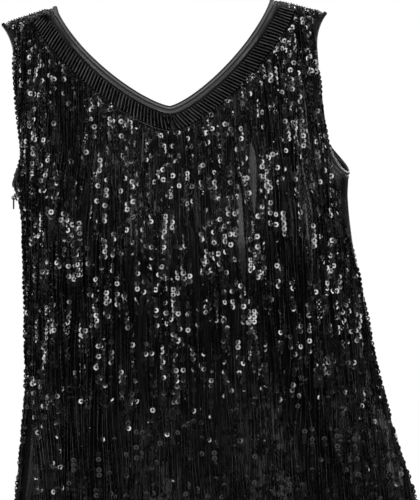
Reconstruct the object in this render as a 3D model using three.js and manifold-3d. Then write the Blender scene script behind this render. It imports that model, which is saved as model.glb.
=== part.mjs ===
// A sleeveless latin dance dress, worn with no wearer: a hollow stretch base in two panels, bound at the neck
// and the armholes, with sequin strands hanging over it and a closed zip in one side seam.
// Millimetres, +Z up. The front faces -Y and +X is the viewer's right. The origin lies between the wearer's
// shoulders, level with the tops of the straps.
import * as THREE from "three";
import Module from "manifold-3d";
import { mergeVertices } from "three/addons/utils/BufferGeometryUtils.js";

const wasm = await Module();
wasm.setup();

// The form: a ring for each drop below the shoulders. Its reach is halfWidth to each side, and front and back
// to the front and the back. square is its superellipse exponent, and swing is how far the hips carry it to the
// viewer's right.
const sections = [
  { drop: 0, halfWidth: 180, front: 52, back: 54, square: 2.3, swing: 0 },
  { drop: 60, halfWidth: 180, front: 70, back: 78, square: 2.3, swing: 1 },
  { drop: 120, halfWidth: 180, front: 90, back: 92, square: 2.3, swing: 4.5 },
  { drop: 186, halfWidth: 178, front: 107, back: 97, square: 2.25, swing: 12 },
  { drop: 214, halfWidth: 174, front: 114, back: 96, square: 2.2, swing: 14.5 },
  { drop: 260, halfWidth: 174, front: 120, back: 92, square: 2.2, swing: 17.5 },
  { drop: 320, halfWidth: 179, front: 118, back: 87, square: 2.15, swing: 21.5 },
  { drop: 370, halfWidth: 183, front: 115, back: 85, square: 2.1, swing: 25 },
  { drop: 424, halfWidth: 190, front: 114, back: 90, square: 2.1, swing: 29 },
  { drop: 477, halfWidth: 200, front: 117, back: 102, square: 2.1, swing: 33 },
  { drop: 531, halfWidth: 211, front: 122, back: 114, square: 2.1, swing: 37 },
  { drop: 640, halfWidth: 225, front: 134, back: 126, square: 2.1, swing: 43.5 },
  { drop: 800, halfWidth: 238, front: 146, back: 136, square: 2.1, swing: 50 },
];
const rollDegrees = 2;
const shoulderRoll = 46;
const shoulderSlopeDegrees = 16;
const shoulderSlopeFade = 130;

// The cut. Necklines and armholes are measured as seen from in front.
const neckHalfWidth = 114;
const neckDepth = { front: 114, back: 205 };
const neckBow = 1.35;
const neckSpring = 0.77;
const shoulderTip = 174;
const armholeHalf = { front: 159.5, back: 156 };
const armholeTipDrop = 48;
const armholeBottom = 186;
const armholeRounding = { front: 36, back: 62 };
const hemDrop = 780;

// The side seam at the viewer's right runs forward of the side under the arm, and eases back to it.
const rightSeam = { forwardDegrees: 14, easeStart: 186, easeEnd: 300 };

const seamGap = 0.4;
const layerGap = 0.6;
const panel = { wall: 1.2 };
const binding = { width: 9, wall: 2, crown: 0.5, lift: -0.4 };
const neckBand = { outer: 27, wall: 2 };
const shoulderStrip = { reach: 9, wall: 2 };
const fringe = { wall: 2.2, aboveHem: 4 };

// The zip. Its tab hangs in an arch on the slider, by the bar above its window.
const zip = { seamSide: -1, below: 1, length: 250, tapeWidth: 24, tapeWall: 1, tapeColumns: 4 };
const slider = { length: 8, width: 4.4, wall: 1.6, seat: 0.7 };
const arch = { hole: 1.3, wall: 1, thick: 1.6, clearance: 0.2 };
const tab = { length: 13, width: 5, wall: 1.3, bar: 1.6, windowWidth: 2.2, windowLength: 3.5 };

// How finely the cloth is faceted. Columns lie closest together at the sides, where the form turns fastest.
const sideColumns = 6;
const fringeColumns = 5;
const bandColumns = 2;
const bindingColumns = 3;
const neckSteps = 6;
const rollSteps = 4;
const upperArmholeDrops = [85];
const roundingSteps = 4;
const bodyDrops = [260, 330, 400, 465, 531, 610, 695];
const closestRows = 6;

const finishes = {
  base: { color: 0x141415, roughness: 0.55, metalness: 0 },
  binding: { color: 0x1b1b1c, roughness: 0.42, metalness: 0 },
  sequins: { color: 0x0b0b0c, roughness: 0.25, metalness: 0 },
  zipTape: { color: 0x101011, roughness: 0.8, metalness: 0 },
  zipMetal: { color: 0x1a1a1b, roughness: 0.4, metalness: 0.6 },
};

const radians = THREE.MathUtils.degToRad;
const roll = radians(rollDegrees);
const shoulderSlope = Math.tan(radians(shoulderSlopeDegrees));
const dress = new THREE.Group();

function addPiece(parent, name, geometry, finish) {
  const mesh = new THREE.Mesh(geometry, new THREE.MeshStandardMaterial(finish));
  mesh.name = name;
  parent.add(mesh);
}

// One column of the sections table at any drop, on a smooth curve through its rows.
function sectionValue(column, drop) {
  let row = 0;
  while (row < sections.length - 2 && sections[row + 1].drop < drop) {
    row += 1;
  }
  const slopeAt = (index) => {
    const before = sections[Math.max(index - 1, 0)];
    const after = sections[Math.min(index + 1, sections.length - 1)];
    return (after[column] - before[column]) / (after.drop - before.drop);
  };
  const from = sections[row];
  const to = sections[row + 1];
  const span = to.drop - from.drop;
  const t = (drop - from.drop) / span;
  const rise = (to[column] - from[column]) * t * t * (3 - 2 * t);
  const leaving = slopeAt(row) * span * t * (1 - t) * (1 - t);
  const arriving = slopeAt(row + 1) * span * t * t * (1 - t);
  return from[column] + rise + leaving - arriving;
}

// A point of the form before it is posed. The angle runs round the ring: 0 is the middle of the front and
// 90 degrees the viewer's right. parting moves the front and the back apart at the shoulder seam.
function formPoint(angle, drop, parting) {
  const across = Math.sin(angle);
  const along = Math.cos(angle);
  const square = sectionValue("square", drop);
  const radius = (Math.abs(across) ** square + Math.abs(along) ** square) ** (-1 / square);
  const inRoll = Math.max(1 - drop / shoulderRoll, 0);
  const face = along > 0 ? "front" : "back";
  const depth = sectionValue(face, drop) * Math.sqrt(1 - inRoll * inRoll);
  const x = sectionValue("halfWidth", drop) * across * radius;
  const y = -depth * along * radius - Math.sign(along) * parting * inRoll;
  const slopeShare = Math.max(1 - drop / shoulderSlopeFade, 0);
  const fall = shoulderSlope * slopeShare * Math.max(Math.abs(x) - neckHalfWidth, 0);
  return new THREE.Vector3(x, y, -drop - fall);
}

// The pose: the hips swing to one side, and the shoulders tip with them.
function posed(point) {
  const drop = THREE.MathUtils.clamp(-point.z, 0, sections.at(-1).drop);
  const moved = new THREE.Vector3(point.x + sectionValue("swing", drop), point.y, point.z);
  return moved.applyAxisAngle(new THREE.Vector3(0, 1, 0), -roll);
}

function surfacePoint(angle, drop, parting = 0) {
  return posed(formPoint(angle, drop, parting));
}

// The direction out of the posed form. The rings close up at the shoulders, so there it is taken just below.
function surfaceNormal(angle, drop) {
  const step = 0.02;
  const turn = 1e-4;
  const firstOpenDrop = 0.5;
  const turnDrop = Math.max(drop, firstOpenDrop);
  const up = surfacePoint(angle, Math.max(drop - step, 0)).sub(surfacePoint(angle, Math.max(drop, step)));
  const round = surfacePoint(angle + turn, turnDrop).sub(surfacePoint(angle - turn, turnDrop));
  return round.cross(up).normalize();
}

// The angle of the place on one face that lies x from the middle, as seen from in front.
function angleAt(x, drop, face) {
  const square = sectionValue("square", drop);
  const share = Math.min(Math.abs(x) / sectionValue("halfWidth", drop), 0.9999) ** square;
  const angle = Math.atan((share / (1 - share)) ** (1 / square));
  return Math.sign(x) * (face === "front" ? angle : Math.PI - angle);
}

function seamAngle(side, drop) {
  const ease = THREE.MathUtils.smoothstep(drop, rightSeam.easeStart, rightSeam.easeEnd);
  const forward = side > 0 ? radians(rightSeam.forwardDegrees) * (1 - ease) : 0;
  return side * (Math.PI / 2 - forward);
}

// The edge of a panel beside the side seam, half a gap from it.
function panelSeamAngle(side, drop, face) {
  const halfGap = seamGap / 2 / sectionValue("halfWidth", drop);
  return seamAngle(side, drop) + side * (face === "front" ? -halfGap : halfGap);
}

// A point of one half of a neckline: x from the middle, y down from the shoulders. Its share runs from 0 in the
// middle to 1 at the shoulder, and inset moves it into the cloth.
function neckPoint(share, inset, face) {
  const curve = (u) => {
    const hang = Math.max(1 - u ** neckBow, 0) ** neckSpring;
    return new THREE.Vector2(neckHalfWidth * u, neckDepth[face] * hang);
  };
  const step = 0.004;
  const tangent = curve(Math.min(share + step, 1)).sub(curve(Math.max(share - step, 0))).normalize();
  if (share === 0) {
    return new THREE.Vector2(0, neckDepth[face] + inset / tangent.x);
  }
  if (share === 1) {
    return new THREE.Vector2(neckHalfWidth + inset, 0);
  }
  return curve(share).add(new THREE.Vector2(-tangent.y, tangent.x).multiplyScalar(inset));
}

// Shares lie closest together at the shoulder, where the form rolls over.
const neckShares = Array.from({ length: neckSteps + 1 }, (_, step) => {
  return step === neckSteps ? 1 : Math.sin((step / neckSteps) * (Math.PI / 2));
});

// One edge of an armhole at its stations, moved into the cloth by inset, from the shoulder to the underarm.
const rollDrops = Array.from({ length: rollSteps + 1 }, (_, step) => {
  return shoulderRoll * (1 - Math.cos((step / rollSteps) * (Math.PI / 2)));
});
const roundingShares = Array.from({ length: roundingSteps + 1 }, (_, step) => {
  return (1 - step / roundingSteps) ** 2;
});

function armholeEdge(side, inset, face) {
  const upper = [...rollDrops, ...upperArmholeDrops].map((drop) => ({ drop, open: 1 }));
  const rounding = roundingShares.map((share) => {
    const open = Math.sqrt(1 - (1 - share) ** 2);
    return { drop: armholeBottom + inset - share * armholeRounding[face], open };
  });
  return [...upper, ...rounding].map(({ drop, open }) => {
    const tipShare = Math.max(1 - drop / armholeTipDrop, 0) ** 2;
    const half = armholeHalf[face] + (shoulderTip - armholeHalf[face]) * tipShare - inset;
    const edge = angleAt(side * half, drop, face);
    const seam = inset > binding.width ? panelSeamAngle(side, drop, face) : seamAngle(side, drop);
    return { angle: seam + (edge - seam) * open, drop };
  });
}

// The value of a list of { drop } rows at any drop, straight between its rows.
function valueAtDrop(rows, key, drop) {
  const sorted = [...rows].sort((a, b) => a.drop - b.drop);
  const next = sorted.findIndex((row) => row.drop >= drop - 1e-6);
  if (next <= 0) {
    return sorted.at(next)[key];
  }
  const share = (drop - sorted[next - 1].drop) / (sorted[next].drop - sorted[next - 1].drop);
  return THREE.MathUtils.lerp(sorted[next - 1][key], sorted[next][key], share);
}

// How far from the middle an inset neckline lies at a drop. It is 0 below the neckline.
function neckEdgeX(drop, inset, face) {
  const rows = neckShares.map((share) => {
    const point = neckPoint(share, inset, face);
    return { drop: point.y, x: point.x };
  });
  return drop >= neckPoint(0, inset, face).y ? 0 : valueAtDrop(rows, "x", drop);
}

// The drops of the rows that all cloth on one face shares: those of its edges, and others where none is near.
// Below the armholes the front and the back have the same ones, because they meet there.
function rowDrops(face) {
  const armholeInset = binding.width + seamGap;
  const neckDrops = (side) => [binding.width + seamGap, neckBand.outer].flatMap((inset) => {
    return neckShares.map((share) => neckPoint(share, inset, side).y);
  });
  const otherFace = face === "front" ? "back" : "front";
  const armhole = armholeEdge(1, armholeInset, face).map((row) => row.drop);
  const edges = [
    0,
    shoulderStrip.reach,
    hemDrop,
    ...armhole,
    ...neckDrops(face),
    ...neckDrops(otherFace).filter((drop) => drop > armhole.at(-1)),
  ];
  const loose = bodyDrops.filter((drop) => edges.every((other) => Math.abs(other - drop) > closestRows));
  const sorted = [...edges, ...loose].sort((a, b) => a - b);
  return sorted.filter((drop, index) => index === 0 || drop - sorted[index - 1] > 0.01);
}

// The places across one half of a face at a drop, from the neckline or the middle, by the outer edge of the
// neck band, to the armhole or the side seam. A place is an angle and a drop.
function placesAcross(side, face, drop) {
  const inset = binding.width + seamGap;
  const armhole = armholeEdge(side, inset, face);
  const seam = panelSeamAngle(side, drop, face);
  const outer = drop < armhole.at(-1).drop ? valueAtDrop(armhole, "angle", drop) : seam;
  const inner = neckEdgeAngle(side, inset, face, drop);
  const bandEdge = neckEdgeAngle(side, neckBand.outer, face, drop);
  const angles = [
    ...evenSteps(inner, bandEdge, bandColumns),
    ...sideSpread(bandEdge, outer).slice(1),
  ];
  return angles.map((angle) => ({ angle, drop }));
}

function evenSteps(from, to, steps) {
  return Array.from({ length: steps + 1 }, (_, step) => THREE.MathUtils.lerp(from, to, step / steps));
}

const sideShares = Array.from({ length: sideColumns + 1 }, (_, column) => {
  return Math.sin((column / sideColumns) * (Math.PI / 2));
});

function sideSpread(from, to) {
  return sideShares.map((share) => THREE.MathUtils.lerp(from, to, share));
}

function neckEdgeAngle(side, inset, face, drop) {
  const x = side * neckEdgeX(drop, inset, face);
  return x === 0 ? middleAngle(side, face) : angleAt(x, drop, face);
}

function middleAngle(side, face) {
  return face === "front" ? 0 : side * Math.PI;
}

// Both halves of a sheet of cloth as patches of rows, each row from left to right as seen from outside.
function sheetHalves(face, drops, placesAt) {
  return [-1, 1].map((side) => drops.map((drop) => {
    const places = placesAt(side, drop);
    return side > 0 === (face === "front") ? places : places.reverse();
  }));
}

// A closed wall between an inner and an outer layer of points, over the given triangles.
function wallBetween(inner, outer, triangles) {
  const count = inner.length;
  const index = [];
  const edges = new Set();
  for (const [a, b, c] of triangles) {
    index.push(a + count, b + count, c + count, c, b, a);
    for (const edge of [[a, b], [b, c], [c, a]]) {
      edges.add(edge.join());
    }
  }
  for (const edge of edges) {
    const [from, to] = edge.split(",").map(Number);
    if (!edges.has([to, from].join())) {
      index.push(from, to, to + count, from, to + count, from + count);
    }
  }
  return facetedSolid([...inner, ...outer], index);
}

// A geometry from points and triangles, turned so that its faces point out.
function facetedSolid(points, index) {
  let volume = 0;
  for (let corner = 0; corner < index.length; corner += 3) {
    const [a, b, c] = index.slice(corner, corner + 3).map((id) => points[id]);
    volume += a.dot(b.clone().cross(c));
  }
  const geometry = new THREE.BufferGeometry();
  const positions = points.flatMap((point) => point.toArray());
  geometry.setAttribute("position", new THREE.Float32BufferAttribute(positions, 3));
  geometry.setIndex(volume > 0 ? index : index.reverse());
  geometry.computeVertexNormals();
  return geometry;
}

// Cloth over patches of rows of places. Places at one point of the form are one vertex. lift is the inner
// layer's height over the form, and crown is how far the middle of each row stands higher still.
function clothOver(patches, { lift, wall, crown = 0, parting = 0, closed = false }) {
  const ids = new Map();
  const inner = [];
  const outer = [];
  const triangles = [];
  const idOf = ({ angle, drop }, share) => {
    const point = surfacePoint(angle, drop, parting);
    const key = point.toArray().map((value) => Math.round(value * 1e3)).join();
    if (!ids.has(key)) {
      const normal = surfaceNormal(angle, drop);
      ids.set(key, inner.length);
      inner.push(point.clone().addScaledVector(normal, lift));
      outer.push(point.clone().addScaledVector(normal, lift + wall + crown * Math.sin(Math.PI * share)));
    }
    return ids.get(key);
  };
  for (const patch of patches) {
    const rows = patch.map((row) => row.map((place, column) => idOf(place, column / (row.length - 1))));
    for (let step = 0; step < rows.length - (closed ? 0 : 1); step += 1) {
      const upper = rows[step];
      const lower = rows[(step + 1) % rows.length];
      for (let column = 0; column + 1 < upper.length; column += 1) {
        const [a, b, c, d] = [upper[column], lower[column], lower[column + 1], upper[column + 1]];
        const both = [[a, b, c], [a, c, d]];
        triangles.push(...both.filter((triangle) => new Set(triangle).size === 3));
      }
    }
  }
  return wallBetween(inner, outer, triangles);
}

function placeOnNeck(side, share, inset, face) {
  const point = neckPoint(share, inset, face);
  const angle = share === 0 ? middleAngle(side, face) : angleAt(side * point.x, point.y, face);
  return { angle, drop: point.y };
}

function makePanel(face) {
  const patches = sheetHalves(face, rowDrops(face), (side, drop) => placesAcross(side, face, drop));
  const geometry = clothOver(patches, { lift: 0, wall: panel.wall, parting: seamGap / 2 });
  addPiece(dress, `${face}_panel`, geometry, finishes.base);
}

// The strands' reach: below the shoulder strips and the neck band, down to the hem, and clear of the side seams.
function makeFringe(face) {
  const top = shoulderStrip.reach + seamGap;
  const bottom = hemDrop - fringe.aboveHem;
  const inset = neckBand.outer + seamGap;
  const apex = neckPoint(0, inset, face).y;
  const between = [...rowDrops(face), apex].filter((drop) => drop > top + seamGap && drop < bottom);
  const drops = [top, ...between.sort((a, b) => a - b), bottom];
  const placesAt = (side, drop) => {
    const middle = middleAngle(side, face);
    const widest = THREE.MathUtils.lerp(middle, panelSeamAngle(side, drop, face), sideShares[fringeColumns]);
    const places = placesAcross(side, face, drop).slice(bandColumns);
    places[0].angle = neckEdgeAngle(side, inset, face, drop);
    return places.map(({ angle }) => {
      return { angle: Math.abs(angle - middle) > Math.abs(widest - middle) ? widest : angle, drop };
    });
  };
  const geometry = clothOver(sheetHalves(face, drops, placesAt), {
    lift: panel.wall + layerGap,
    wall: fringe.wall,
  });
  addPiece(dress, `fringe_${face}`, geometry, finishes.sequins);
}

// The sequin band below the neck binding, from one shoulder strip to the other.
function makeNeckBand(face) {
  const top = shoulderStrip.reach + seamGap;
  const bottom = neckPoint(0, neckBand.outer, face).y;
  const between = rowDrops(face).filter((drop) => drop > top + seamGap && drop <= bottom);
  const placesAt = (side, drop) => placesAcross(side, face, drop).slice(0, bandColumns + 1);
  const geometry = clothOver(sheetHalves(face, [top, ...between], placesAt), {
    lift: panel.wall + layerGap,
    wall: neckBand.wall,
  });
  addPiece(dress, `neck_band_${face}`, geometry, finishes.sequins);
}

// The sequin strip over the top of a strap, from the front across the shoulder seam to the back.
function makeShoulderStrip(name, side) {
  const dropsOf = (face) => rowDrops(face).filter((drop) => drop <= shoulderStrip.reach);
  const rows = [
    ...dropsOf("front").slice(1).reverse().map((drop) => placesAcross(side, "front", drop)),
    ...dropsOf("back").map((drop) => placesAcross(side, "back", drop)),
  ];
  const geometry = clothOver([rows], { lift: panel.wall + layerGap, wall: shoulderStrip.wall });
  addPiece(dress, name, geometry, finishes.sequins);
}

// All round the neck: down and up the front, then down and up the back.
function makeNeckBinding() {
  const insets = evenSteps(0, binding.width, bindingColumns);
  const rising = neckShares;
  const falling = [...neckShares].reverse();
  const rowsOf = (side, shares, face) => {
    return shares.map((share) => insets.map((inset) => placeOnNeck(side, share, inset, face)));
  };
  const rows = [
    ...rowsOf(-1, falling, "front"),
    ...rowsOf(1, rising.slice(1), "front"),
    ...rowsOf(1, falling.slice(1), "back"),
    ...rowsOf(-1, rising.slice(1, -1), "back"),
  ];
  addPiece(dress, "neck_binding", clothOver([rows], { ...binding, closed: true }), finishes.binding);
}

// All round an armhole: down the front edge and up the back one.
function makeArmholeBinding(name, side) {
  const insets = evenSteps(0, binding.width, bindingColumns);
  const rowsOf = (face) => {
    const edges = insets.map((inset) => armholeEdge(side, inset, face));
    return edges[0].map((_, station) => edges.map((edge) => edge[station]));
  };
  const rows = [...rowsOf("front"), ...rowsOf("back").reverse().slice(1, -1)];
  addPiece(dress, name, clothOver([rows], { ...binding, closed: true }), finishes.binding);
}

// The zip's tapes, behind the side seam.
function makeZipTape(top) {
  const bottom = top + zip.length;
  const drops = [top, ...rowDrops("front").filter((drop) => drop > top + 1 && drop < bottom - 1), bottom];
  const rows = drops.map((drop) => {
    const halfTurn = zip.tapeWidth / 2 / sectionValue("halfWidth", drop);
    const seam = seamAngle(zip.seamSide, drop);
    return evenSteps(seam - halfTurn, seam + halfTurn, zip.tapeColumns).map((angle) => ({ angle, drop }));
  });
  const lift = -layerGap - zip.tapeWall;
  addPiece(dress, "zip_tape", clothOver([rows], { lift, wall: zip.tapeWall }), finishes.zipTape);
}

function solidOf(geometry) {
  const bare = geometry.clone();
  bare.deleteAttribute("normal");
  bare.deleteAttribute("uv");
  const merged = mergeVertices(bare, 1e-4);
  const vertProperties = new Float32Array(merged.attributes.position.array);
  const triVerts = new Uint32Array(merged.index.array);
  return new wasm.Manifold(new wasm.Mesh({ numProp: 3, vertProperties, triVerts }));
}

function geometryOf(solid) {
  const { vertProperties, triVerts } = solid.getMesh();
  const geometry = new THREE.BufferGeometry();
  geometry.setAttribute("position", new THREE.BufferAttribute(vertProperties, 3));
  geometry.setIndex(new THREE.BufferAttribute(triVerts, 1));
  geometry.computeVertexNormals();
  return geometry;
}

// A flat outline with round ends, upright and centred, through the given thickness.
function roundEndedPlate(width, length, thickness, hole) {
  const radius = width / 2;
  const straight = length / 2 - radius;
  const outline = new THREE.Shape();
  outline.absarc(0, straight, radius, 0, Math.PI);
  outline.absarc(0, -straight, radius, Math.PI, 2 * Math.PI);
  outline.closePath();
  if (hole) {
    outline.holes.push(hole);
  }
  return new THREE.ExtrudeGeometry(outline, { depth: thickness, bevelEnabled: false, curveSegments: 8 });
}

// The arch's side view: legs that stand on the slider, a round head and the hole that the tab's bar turns in.
function archOutline(height) {
  const radius = arch.hole + arch.wall;
  const foot = slider.wall / 2;
  const outline = new THREE.Shape();
  outline.moveTo(foot, -radius);
  outline.lineTo(height, -radius);
  outline.absarc(height, 0, radius, -Math.PI / 2, Math.PI / 2);
  outline.lineTo(foot, radius);
  outline.closePath();
  const hole = new THREE.Path();
  hole.absarc(height, 0, arch.hole, 0, 2 * Math.PI, true);
  outline.holes.push(hole);
  return outline;
}

// The slider lies over the seam and follows it. In its own axes x runs round the dress, y up it and z out.
// It returns the middle of its arch, where the tab turns.
function makeZipSlider(drop) {
  const seam = seamAngle(zip.seamSide, drop);
  const out = surfaceNormal(seam, drop);
  const up = surfacePoint(seam, drop - 1).sub(surfacePoint(seam, drop + 1)).normalize();
  const round = new THREE.Vector3().crossVectors(up, out).normalize();
  const squareUp = new THREE.Vector3().crossVectors(out, round);
  const seat = surfacePoint(seam, drop).addScaledVector(out, panel.wall + slider.seat);
  const archHeight = slider.wall + arch.hole + arch.clearance;

  const body = roundEndedPlate(slider.width, slider.length, slider.wall);
  const extrusion = { depth: arch.thick, bevelEnabled: false, curveSegments: 8 };
  const bow = new THREE.ExtrudeGeometry(archOutline(archHeight), extrusion);
  bow.translate(0, 0, -arch.thick / 2);
  bow.rotateY(-Math.PI / 2);

  const group = new THREE.Group();
  group.quaternion.setFromRotationMatrix(new THREE.Matrix4().makeBasis(round, squareUp, out));
  group.position.copy(seat);
  addPiece(group, "zip_slider", geometryOf(solidOf(body).add(solidOf(bow))), finishes.zipMetal);
  dress.add(group);
  return seat.clone().addScaledVector(out, archHeight);
}

// The tab hangs straight down from its bar, which lies through the slider's arch along Y.
function makeZipTab(pivot) {
  const plateMiddle = (tab.bar - tab.length) / 2;
  const windowTop = -tab.bar / 2 - plateMiddle;
  const windowFoot = windowTop - tab.windowLength;
  const window = new THREE.Path();
  window.moveTo(-tab.windowWidth / 2, windowTop);
  window.lineTo(-tab.windowWidth / 2, windowFoot);
  window.lineTo(tab.windowWidth / 2, windowFoot);
  window.lineTo(tab.windowWidth / 2, windowTop);
  window.closePath();
  const plate = roundEndedPlate(tab.width, tab.length, tab.wall, window);
  plate.translate(0, plateMiddle, -tab.wall / 2);
  const group = new THREE.Group();
  group.rotation.set(Math.PI / 2, -Math.PI / 2, 0);
  group.position.copy(pivot);
  addPiece(group, "zip_tab", plate, finishes.zipMetal);
  dress.add(group);
}

const zipTop = armholeBottom + binding.width + zip.below;

makePanel("front");
makePanel("back");
makeNeckBinding();
makeArmholeBinding("armhole_binding_left", -1);
makeArmholeBinding("armhole_binding_right", 1);
makeNeckBand("front");
makeNeckBand("back");
makeShoulderStrip("shoulder_strip_left", -1);
makeShoulderStrip("shoulder_strip_right", 1);
makeFringe("front");
makeFringe("back");
makeZipTape(zipTop);
const pivot = makeZipSlider(zipTop + slider.length / 2);
makeZipTab(pivot);

export default dress;
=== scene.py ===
import math

import bmesh
import bpy
import numpy as np
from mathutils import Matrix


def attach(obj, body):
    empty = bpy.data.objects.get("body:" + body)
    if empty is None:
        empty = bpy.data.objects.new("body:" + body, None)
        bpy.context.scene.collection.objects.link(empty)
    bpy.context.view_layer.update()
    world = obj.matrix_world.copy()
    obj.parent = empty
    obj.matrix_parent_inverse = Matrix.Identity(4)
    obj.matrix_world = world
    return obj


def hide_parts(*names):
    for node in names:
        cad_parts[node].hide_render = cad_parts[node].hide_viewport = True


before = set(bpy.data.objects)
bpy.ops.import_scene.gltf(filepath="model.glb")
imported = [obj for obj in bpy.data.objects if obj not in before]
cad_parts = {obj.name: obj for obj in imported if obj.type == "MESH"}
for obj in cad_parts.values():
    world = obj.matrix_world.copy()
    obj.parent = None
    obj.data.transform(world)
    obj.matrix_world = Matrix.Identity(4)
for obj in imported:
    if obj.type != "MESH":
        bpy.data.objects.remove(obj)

for spare in ("Cube", "Light", "Camera"):
    if spare in bpy.data.objects:
        bpy.data.objects.remove(bpy.data.objects[spare])
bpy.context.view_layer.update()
print("frame loaded:", ", ".join(sorted(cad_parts)))


# The form of the dress: a ring for each drop below the shoulders, in metres. square is the ring's
# superellipse exponent, and swing is how far the hips carry it to the viewer's right.
ringColumns = ("drop", "halfWidth", "front", "back", "square", "swing")
ringRows = (
    (0.000, 0.180, 0.052, 0.054, 2.30, 0.0000),
    (0.060, 0.180, 0.070, 0.078, 2.30, 0.0010),
    (0.120, 0.180, 0.090, 0.092, 2.30, 0.0045),
    (0.186, 0.178, 0.107, 0.097, 2.25, 0.0120),
    (0.214, 0.174, 0.114, 0.096, 2.20, 0.0145),
    (0.260, 0.174, 0.120, 0.092, 2.20, 0.0175),
    (0.320, 0.179, 0.118, 0.087, 2.15, 0.0215),
    (0.370, 0.183, 0.115, 0.085, 2.10, 0.0250),
    (0.424, 0.190, 0.114, 0.090, 2.10, 0.0290),
    (0.477, 0.200, 0.117, 0.102, 2.10, 0.0330),
    (0.531, 0.211, 0.122, 0.114, 2.10, 0.0370),
    (0.640, 0.225, 0.134, 0.126, 2.10, 0.0435),
    (0.800, 0.238, 0.146, 0.136, 2.10, 0.0500),
)
ringTable = dict(zip(ringColumns, np.array(ringRows).T))

pose = {
    "rollDegrees": 2,  # the shoulders tip
    "shoulderRoll": 0.046,
    "slopeDegrees": 16,
    "slopeFade": 0.130,
}

# Necklines and armholes, measured as seen from in front.
cut = {
    "neckHalfWidth": 0.114,
    "neckDepth": {"front": 0.114, "back": 0.205},
    "neckBow": 1.35,
    "neckSpring": 0.77,
    "shoulderTip": 0.174,
    "armholeHalf": {"front": 0.1595, "back": 0.156},
    "armholeTipDrop": 0.048,
    "armholeBottom": 0.186,
    "armholeRounding": {"front": 0.036, "back": 0.062},
    "hemDrop": 0.780,
    "seamForward": math.radians(14),  # the right seam under the arm, eased back to the side
    "seamEase": (0.186, 0.300),
}


def ringValue(column, drop):
    drops, values = ringTable["drop"], ringTable[column]
    last = len(drops) - 1
    row = np.clip(np.searchsorted(drops, drop) - 1, 0, last - 1)
    before = np.maximum(np.arange(last + 1) - 1, 0)
    after = np.minimum(np.arange(last + 1) + 1, last)
    slopes = (values[after] - values[before]) / (drops[after] - drops[before])
    span = drops[row + 1] - drops[row]
    t = (drop - drops[row]) / span
    rise = (values[row + 1] - values[row]) * t * t * (3 - 2 * t)
    leaving = slopes[row] * span * t * (1 - t) ** 2
    arriving = slopes[row + 1] * span * t * t * (1 - t)
    return values[row] + rise + leaving - arriving


def barePoint(angle, drop):
    angle, drop = np.broadcast_arrays(np.asarray(angle, float), np.asarray(drop, float))
    across, along = np.sin(angle), np.cos(angle)
    square = ringValue("square", drop)
    radius = (np.abs(across) ** square + np.abs(along) ** square) ** (-1 / square)
    inRoll = np.maximum(1 - drop / pose["shoulderRoll"], 0)
    reach = np.where(along > 0, ringValue("front", drop), ringValue("back", drop))
    x = ringValue("halfWidth", drop) * across * radius
    y = -reach * np.sqrt(1 - inRoll**2) * along * radius
    slope = math.tan(math.radians(pose["slopeDegrees"])) * np.maximum(1 - drop / pose["slopeFade"], 0)
    z = -drop - slope * np.maximum(np.abs(x) - cut["neckHalfWidth"], 0)
    x = x + ringValue("swing", np.clip(-z, 0, ringRows[-1][0]))
    roll = math.radians(pose["rollDegrees"])
    level, upright = math.cos(roll), math.sin(roll)
    return np.stack([x * level - z * upright, y, x * upright + z * level], -1)


def outward(angle, drop):
    step, turn, firstOpen = 2e-5, 1e-4, 5e-4
    up = barePoint(angle, np.maximum(drop - step, 0)) - barePoint(angle, np.maximum(drop, step))
    opened = np.maximum(drop, firstOpen)
    around = barePoint(angle + turn, opened) - barePoint(angle - turn, opened)
    normal = np.cross(around, up)
    return normal / np.linalg.norm(normal, axis=-1, keepdims=True)


def onForm(angle, drop, lift):
    return barePoint(angle, drop) + outward(angle, drop) * np.asarray(lift)[..., None]


# A line on the form, with the ways it faces, for the trees.
def formLine(angle, drop, lift, **numbers):
    return {"points": onForm(angle, drop, lift), "outward": outward(angle, drop), **numbers}


def runLengths(points):
    return np.append(0, np.cumsum(np.linalg.norm(np.diff(points, axis=0), axis=-1)))


# The angle of the place on one face that lies x from the middle, as seen from in front.
def angleAt(x, drop, face):
    square = ringValue("square", drop)
    share = np.minimum(np.abs(x) / ringValue("halfWidth", drop), 0.9999) ** square
    angle = np.arctan((share / (1 - share)) ** (1 / square))
    return np.sign(x) * (angle if face == "front" else math.pi - angle)


def smooth(value, start, end):
    t = np.clip((value - start) / (end - start), 0, 1)
    return t * t * (3 - 2 * t)


def seamAngle(side, drop):
    forward = cut["seamForward"] * (1 - smooth(drop, *cut["seamEase"])) if side > 0 else 0
    return side * (math.pi / 2 - forward) + 0 * drop


def neckPoint(share, inset, face):
    share, inset = np.broadcast_arrays(np.asarray(share, float), np.asarray(inset, float))
    half, depth = cut["neckHalfWidth"], cut["neckDepth"][face]

    def curve(u):
        return half * u, depth * np.maximum(1 - u ** cut["neckBow"], 0) ** cut["neckSpring"]

    step = 0.004
    x1, y1 = curve(np.minimum(share + step, 1))
    x0, y0 = curve(np.maximum(share - step, 0))
    length = np.hypot(x1 - x0, y1 - y0)
    tangentX, tangentY = (x1 - x0) / length, (y1 - y0) / length
    x, y = curve(share)
    x, y = x - tangentY * inset, y + tangentX * inset
    middle, shoulder = share <= 0, share >= 1
    x = np.where(middle, 0, np.where(shoulder, half + inset, x))
    y = np.where(middle, depth + inset / tangentX, np.where(shoulder, 0, y))
    return x, y


def middleAngle(side, face):
    return 0.0 if face == "front" else side * math.pi


# How far from the middle an inset neckline lies at a drop, as an angle.
def neckEdgeAngle(side, inset, face, drop):
    shares = np.sin(np.linspace(0, math.pi / 2, 240))
    x, y = neckPoint(shares, inset, face)
    reach = np.interp(drop, y[::-1], x[::-1])
    below = drop >= y[0]
    angle = angleAt(side * np.where(below, 1e-6, reach), drop, face)
    return np.where(below, middleAngle(side, face), angle)


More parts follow.
